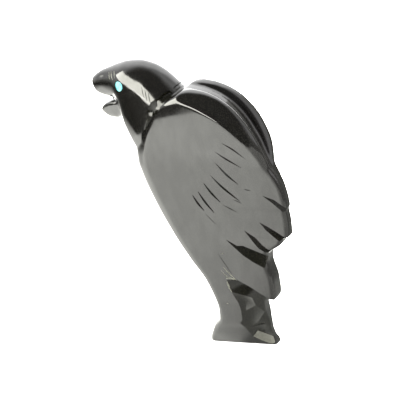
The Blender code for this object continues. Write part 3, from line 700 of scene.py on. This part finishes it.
def stroke_tools(name, paths_x, finish):
    """The cutters of many strokes, swept along paths of (x, y, z, share), in the finish that they leave."""
    mesh = bpy.data.meshes.new(name)
    points = [point for path in paths_x for point in path]
    edges, start = [], 0
    for path in paths_x:
        edges += [(start + i, start + i + 1) for i in range(len(path) - 1)]
        start += len(path)
    mesh.from_pydata([Vector(p[:3]) * MM for p in points], edges, [])
    shares = mesh.attributes.new("share", "FLOAT", "POINT")
    shares.data.foreach_set("value", [p[3] for p in points])
    tools = bpy.data.objects.new(name, mesh)
    bpy.context.collection.objects.link(tools)
    sweep = tools.modifiers.new(name, "NODES")
    sweep.node_group = stroke_tree
    sockets = {item.name: item.identifier for item in stroke_tree.interface.items_tree}
    sweep[sockets["Depth"]] = STROKE_DEPTH * MM
    sweep[sockets["Sides"]] = STROKE_SIDES
    sweep[sockets["Points"]] = STROKE_POINTS
    sweep[sockets["Material"]] = finish
    return settled(tools, name)


def laid_on(paths, half_width, signs):
    """Paths of (y, z, share) laid on the bird's sides."""
    return [[(sign * half_width(y, z), y, z, w) for y, z, w in path] for path in paths for sign in signs]


# The faint strokes and the pale scratches came by chance, so they are on the left side only
dark_strokes = laid_on(WING_STROKES, panel_x, sides) + laid_on(NECK_RIPPLES, head_x, sides)
dark_strokes += laid_on(FAINT_STROKES, panel_x, (1,))
pale_strokes = laid_on(PALE_SCRATCHES, panel_x, (1,)) + laid_on(EYE_NICKS, head_x, sides)
raven = cut_away(raven, stroke_tools("feather strokes", dark_strokes, chiselled), chiselled)
raven = cut_away(raven, stroke_tools("pale scratches", pale_strokes, scratched_pale), scratched_pale)

# A seat is drilled into each cheek for the eye's plug: its place (y, z), the way it looks, how far the plug
# sinks below the cheek, the plug's radius and length, and the gap for the glue
EYE_PLACE = (-25.2, 70.2)
EYE_LOOKS = Vector((0.90, -0.45, 0.09)).normalized()
EYE_SINK, EYE_RADIUS, EYE_PLUG, GLUE_LINE = 0.05, 1.25, 1.6, 0.04
EYE_SEGMENTS = 64


def eye_frame(sign):
    """The middle of an eye on the cheek, and the direction that it looks in."""
    y, z = EYE_PLACE
    return Vector((sign * (head_x(y, z) - EYE_SINK), y, z)), Vector((sign * EYE_LOOKS[0], *EYE_LOOKS[1:]))


def turned(middle, outward, profile):
    """Rings of a round form about an eye's axis, from pairs of radius and height above the cheek."""
    aside = outward.cross(Vector((0, 0, 1))).normalized()
    upward = outward.cross(aside)
    turns = [2 * math.pi * j / EYE_SEGMENTS for j in range(EYE_SEGMENTS)]
    return [[middle + outward * height + (aside * math.cos(t) + upward * math.sin(t)) * radius for t in turns]
            for radius, height in profile]


def shaded(shape, sharp_degrees):
    """Smooth shading that stays crisp at the sharper edges."""
    for face in shape.data.polygons:
        face.use_smooth = True
    shape.data.set_sharp_from_angle(angle=math.radians(sharp_degrees))


seat = EYE_RADIUS + GLUE_LINE
drill = [(seat, -EYE_PLUG - GLUE_LINE), (seat, CUT_CLEAR)]
raven = cut_away(raven, skins("eye seats", [turned(*eye_frame(sign), drill) for sign in sides]), chiselled)
SHARP_CUT_DEGREES = 32
shaded(raven, SHARP_CUT_DEGREES)
raven.name = "raven"
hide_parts("raven_body")
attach(raven, "root")


# Each eye is a short round plug of turquoise, glued into a drilled seat and ground down almost flush. The
# stone is pale blue-green with soft, slightly deeper clouds.
TURQUOISE_PALE, TURQUOISE_DEEP = "#6cb4b6", "#4b979c"
TURQUOISE_IOR, TURQUOISE_ROUGHNESS = 1.61, 0.3
CLOUD_MM = 0.9
turquoise, tree = new_material("turquoise, ground and polished")
place = add(tree, "ShaderNodeTexCoord", {}, {}).outputs["Object"]
cloud = add(tree, "ShaderNodeTexNoise", {"Scale": 1 / (CLOUD_MM * MM), "Detail": 3.0}, {"Vector": place})
clouds = add(tree, "ShaderNodeMapRange", {"From Min": 0.40, "From Max": 0.75},
             {"Value": cloud.outputs["Fac"]})
colour = add(tree, "ShaderNodeMix", {"data_type": "RGBA"}, {"Factor": clouds.outputs[0]})
colour.inputs["A"].default_value = linear(TURQUOISE_PALE)
colour.inputs["B"].default_value = linear(TURQUOISE_DEEP)
turquoise_skin = add(tree, "ShaderNodeBsdfPrincipled",
                     {"Roughness": TURQUOISE_ROUGHNESS, "IOR": TURQUOISE_IOR},
                     {"Base Color": colour.outputs["Result"]})
add(tree, "ShaderNodeOutputMaterial", {}, {"Surface": turquoise_skin.outputs[0]})
# The low dome that grinding leaves: share of the plug's radius, height above the cheek
EYE_DOME = [(1.0, -0.03), (0.985, 0.02), (0.95, 0.05), (0.8, 0.09), (0.6, 0.12), (0.4, 0.14), (0.15, 0.15)]
SHARP_EYE_DEGREES = 40
eye_profile = [(EYE_RADIUS, -EYE_PLUG)] + [(share * EYE_RADIUS, height) for share, height in EYE_DOME]
for name, sign in (("left", 1), ("right", -1)):
    eye = skins("turquoise eye " + name, [turned(*eye_frame(sign), eye_profile)])
    eye.name = "turquoise_eye_" + name
    eye.data.materials.append(turquoise)
    shaded(eye, SHARP_EYE_DEGREES)
    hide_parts("eye_" + name)
    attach(eye, "root")


# The camera stands behind the bird's left shoulder and looks down on it, turned a little about its own axis.
AZIMUTH, ELEVATION, ROLL = math.radians(122), math.radians(26), math.radians(7.5)
DISTANCE = 0.420
TARGET = Vector((0, -0.006671, 0.036708))
LENS, SENSOR = 143.47, 36
back = Vector((math.sin(AZIMUTH) * math.cos(ELEVATION), -math.cos(AZIMUTH) * math.cos(ELEVATION),
               math.sin(ELEVATION)))
level = Vector((-back.y, back.x, 0)).normalized()
upright = back.cross(level)
camera = bpy.data.objects.new("camera", bpy.data.cameras.new("camera"))
bpy.context.collection.objects.link(camera)
right = level * math.cos(ROLL) - upright * math.sin(ROLL)
up = upright * math.cos(ROLL) + level * math.sin(ROLL)
camera.matrix_world = (Matrix.Translation(TARGET + back * DISTANCE)
                       @ Matrix((right, up, back)).transposed().to_4x4())
camera.data.lens = LENS
camera.data.sensor_width = SENSOR
bpy.context.scene.camera = camera


def toward(azimuth, elevation):
    """The unit direction from the bird to a place in the studio: azimuth 0 is where it looks, 90 its left."""
    a, e = math.radians(azimuth), math.radians(elevation)
    return Vector((math.sin(a) * math.cos(e), -math.cos(a) * math.cos(e), math.sin(e)))


# A plain white paper floor, lit so strongly from above that it shows pure white, as on a product table.
# Only its mirror image in the polished jet shows how bright it is.
FLOOR_HALF = 3.0
PAPER_COLOUR, PAPER_ROUGHNESS, PAPER_IOR = "#f2f2f0", 0.9, 1.3
floor_mesh = bpy.data.meshes.new("floor")
floor_mesh.from_pydata([(x * FLOOR_HALF, y * FLOOR_HALF, 0) for x, y in SQUARE], [], [(0, 1, 2, 3)])
floor = bpy.data.objects.new("floor", floor_mesh)
bpy.context.collection.objects.link(floor)
paper, tree = new_material("white paper, matt")
paper_skin = add(tree, "ShaderNodeBsdfPrincipled", {
    "Base Color": linear(PAPER_COLOUR), "Roughness": PAPER_ROUGHNESS, "IOR": PAPER_IOR}, {})
add(tree, "ShaderNodeOutputMaterial", {}, {"Surface": paper_skin.outputs[0]})
floor_mesh.materials.append(paper)

# Wide, soft light from straight above. It stays out of mirror images, where the room's walls stand for it.
OVERHEAD_STRENGTH, OVERHEAD_WIDTH = 8.0, 100
overhead = bpy.data.objects.new("overhead light", bpy.data.lights.new("overhead light", "SUN"))
bpy.context.collection.objects.link(overhead)
overhead.data.energy = OVERHEAD_STRENGTH
overhead.data.angle = math.radians(OVERHEAD_WIDTH)
overhead.visible_glossy = False

# The softbox in front of the bird's left side, which its head mirrors as one slanting band.
SOFTBOX_PLACE, SOFTBOX_DISTANCE = toward(52, 15), 1.0
SOFTBOX_AIM = Vector((0, -0.01, 0.05))
SOFTBOX_LONG, SOFTBOX_SHORT, SOFTBOX_SLANT = 1.45, 0.42, 32
SOFTBOX_RADIANCE = 11.5
SOFTBOX_TINT = "#fffef3"
softbox = bpy.data.objects.new("softbox", bpy.data.lights.new("softbox", "AREA"))
bpy.context.collection.objects.link(softbox)
softbox.data.shape = "RECTANGLE"
softbox.data.color = linear(SOFTBOX_TINT)[:3]
softbox.data.size, softbox.data.size_y = SOFTBOX_LONG, SOFTBOX_SHORT
softbox.data.energy = SOFTBOX_RADIANCE * math.pi * SOFTBOX_LONG * SOFTBOX_SHORT
sideways = Vector((0, 0, 1)).cross(SOFTBOX_PLACE).normalized()
upward = SOFTBOX_PLACE.cross(sideways)
slant = math.radians(SOFTBOX_SLANT)
long_way = sideways * math.cos(slant) - upward * math.sin(slant)
short_way = upward * math.cos(slant) + sideways * math.sin(slant)
softbox.matrix_world = (Matrix.Translation(SOFTBOX_AIM + SOFTBOX_PLACE * SOFTBOX_DISTANCE)
                        @ Matrix((long_way, short_way, SOFTBOX_PLACE)).transposed().to_4x4())
softbox.visible_camera = False

# What the polished jet mirrors near the bird, painted as glow on one sheet that only shows in reflections: a
# painted pool of light on the paper in front of it, a black card towards the softbox, painted shade on the
# paper
# towards the camera, and the bird's painted shadow close behind it, set as a dark card. Rows run round the
# bird:
# azimuth, the paper's radius, the height of the card at its end, the height where the card has faded from the
# paper's brightness to its own, and how bright the paper, the card and its top are. Lengths in the studio are
# in metres.
SURROUND = [
    (-12, 0.112, 0.072, 0.034, 3.2, 0.1, 1.7), (10, 0.114, 0.072, 0.034, 3.4, 0.1, 1.7),
    (30, 0.134, 0.072, 0.020, 4.6, 0.1, 0.8), (44, 0.146, 0.068, 0.006, 4.9, 0.1, 0.2),
    (51, 0.154, 0.064, 0.006, 4.4, 0.2, 0.2), (58, 0.163, 0.056, 0.006, 4.0, 0.25, 0.25),
    (65, 0.178, 0.048, 0.006, 3.7, 0.25, 0.25), (72, 0.230, 0.046, 0.006, 3.5, 0.2, 0.2),
    (79, 0.250, 0.048, 0.006, 3.4, 0.1, 0.1), (88, 0.250, 0.056, 0.006, 2.9, 0.1, 0.1),
    (98, 0.250, 0.070, 0.006, 2.1, 0.1, 0.1), (108, 0.240, 0.070, 0.006, 1.4, 0.15, 0.15),
    (118, 0.200, 0.060, 0.006, 1.3, 0.4, 0.4), (130, 0.150, 0.060, 0.006, 1.2, 0.5, 0.6),
    # From azimuth 190 to 252 the low dark card is the bird's painted shadow on the paper behind it
    (188, 0.150, 0.060, 0.006, 1.3, 0.6, 0.8), (190, 0.045, 0.115, 0.006, 1.2, 0.5, 1.6),
    (206, 0.040, 0.115, 0.006, 1.0, 0.5, 1.6), (252, 0.045, 0.115, 0.006, 0.8, 0.5, 1.6),
    (254, 0.200, 0.0, 0.0, 3.3, 3.3, 3.3), (300, 0.200, 0.0, 0.0, 3.8, 3.8, 3.8),
    (346, 0.200, 0.0, 0.0, 4.4, 4.4, 4.4), (348, 0.112, 0.080, 0.016, 3.8, 0.1, 0.1),
]
# The paper's glow is lowered near the bird as a painted shadow. The card keeps its own brightness up to a
# share of its height.
PAPER_SHARES, PAPER_LIFT = (0.0, 0.12, 0.35, 0.7, 1.0), 0.0002
PAINTED_SHADOW_NEAR, PAINTED_SHADOW_REACH = 0.70, 0.08
CARD_BAND = 0.55
SURROUND_STEP = 3
SURROUND_TINT = "#fffff8"
surround_points, surround_glow = [], []
for row, after in zip(SURROUND, SURROUND[1:]):
    steps = max(1, round((after[0] - row[0]) / SURROUND_STEP))
    for i in range(steps):
        azimuth, radius, height, fade, paper_glow, card_glow, top_glow = [
            a + (b - a) * i / steps for a, b in zip(row, after)]
        out = toward(azimuth, 0)
        for reach in PAPER_SHARES:
            surround_points.append((out.x * radius * reach, out.y * radius * reach, PAPER_LIFT))
            # Painted shadow: the paper glows less close to the bird
            near = PAINTED_SHADOW_NEAR + (1 - PAINTED_SHADOW_NEAR) * min(1.0, radius * reach / PAINTED_SHADOW_REACH)
            surround_glow.append(paper_glow * near)
        for rise, glow in ((fade, card_glow), (height * CARD_BAND, card_glow), (height, top_glow)):
            surround_points.append((out.x * radius, out.y * radius, PAPER_LIFT + rise))
            surround_glow.append(glow)
# Each column has the paper's points and the card's three
column = len(PAPER_SHARES) + 3
turns = len(surround_points) // column
surround_faces = []
for i in range(turns):
    j = (i + 1) % turns
    for k in range(column - 1):
        surround_faces.append((i * column + k, i * column + k + 1, j * column + k + 1, j * column + k))
surround_mesh = bpy.data.meshes.new("surround")
surround_mesh.from_pydata(surround_points, [], surround_faces)
surround_mesh.attributes.new("glow", "FLOAT", "POINT").data.foreach_set("value", surround_glow)
surround = bpy.data.objects.new("surround", surround_mesh)
bpy.context.collection.objects.link(surround)
# The sheet's glow is painted light and shade: lit paper, shaded paper, cards and the bird's shadow
painted_glow, tree = new_material("painted glow of paper, cards and shadow")
glow = add(tree, "ShaderNodeAttribute", {"attribute_name": "glow"}, {})
painted_glow_skin = add(tree, "ShaderNodeEmission", {"Color": linear(SURROUND_TINT)},
                 {"Strength": glow.outputs["Fac"]})
add(tree, "ShaderNodeOutputMaterial", {}, {"Surface": painted_glow_skin.outputs[0]})
surround_mesh.materials.append(painted_glow)
surround.visible_camera = surround.visible_diffuse = False
surround.visible_shadow = surround.visible_transmission = False

# The room: white paper hangs beyond the bird, the wall by the softbox is dark, and the rest is dim.
# A patch of wall is given by the way to it, the angles where it starts and ends to fade, and its radiance.
ROOM_DIM = 1.5
WHITE_PAPER = (toward(-68, 42), 36, 64, 2.6)
DARK_WALL = (toward(82, 25), 33, 56, -1.35)
world = bpy.data.worlds.new("studio")
world.use_nodes = True
room = world.node_tree
room.nodes.clear()
facing = add(room, "ShaderNodeTexCoord", {}, {}).outputs["Generated"]


def lobe(place, start, end, strength):
    """A soft-edged patch of the room's wall, between two angles from its middle, as an added radiance."""
    dot = add(room, "ShaderNodeVectorMath", {"operation": "DOT_PRODUCT"}, {0: facing})
    dot.inputs[1].default_value = place
    patch = add(room, "ShaderNodeMapRange", {"interpolation_type": "SMOOTHSTEP"},
                {"Value": dot.outputs["Value"]})
    patch.inputs["From Min"].default_value = math.cos(math.radians(end))
    patch.inputs["From Max"].default_value = math.cos(math.radians(start))
    patch.inputs["To Min"].default_value = 0.0
    patch.inputs["To Max"].default_value = strength
    return patch.outputs["Result"]


walls = add(room, "ShaderNodeMath", {"operation": "ADD"}, {0: lobe(*WHITE_PAPER), 1: lobe(*DARK_WALL)})
glow = add(room, "ShaderNodeMath", {"operation": "ADD"}, {0: walls.outputs[0]})
glow.inputs[1].default_value = ROOM_DIM
shine = add(room, "ShaderNodeBackground", {"Color": (1, 1, 1, 1)}, {"Strength": glow.outputs[0]})
add(room, "ShaderNodeOutputWorld", {}, {"Surface": shine.outputs[0]})
bpy.context.scene.world = world
bpy.context.scene.view_settings.view_transform = "Standard"
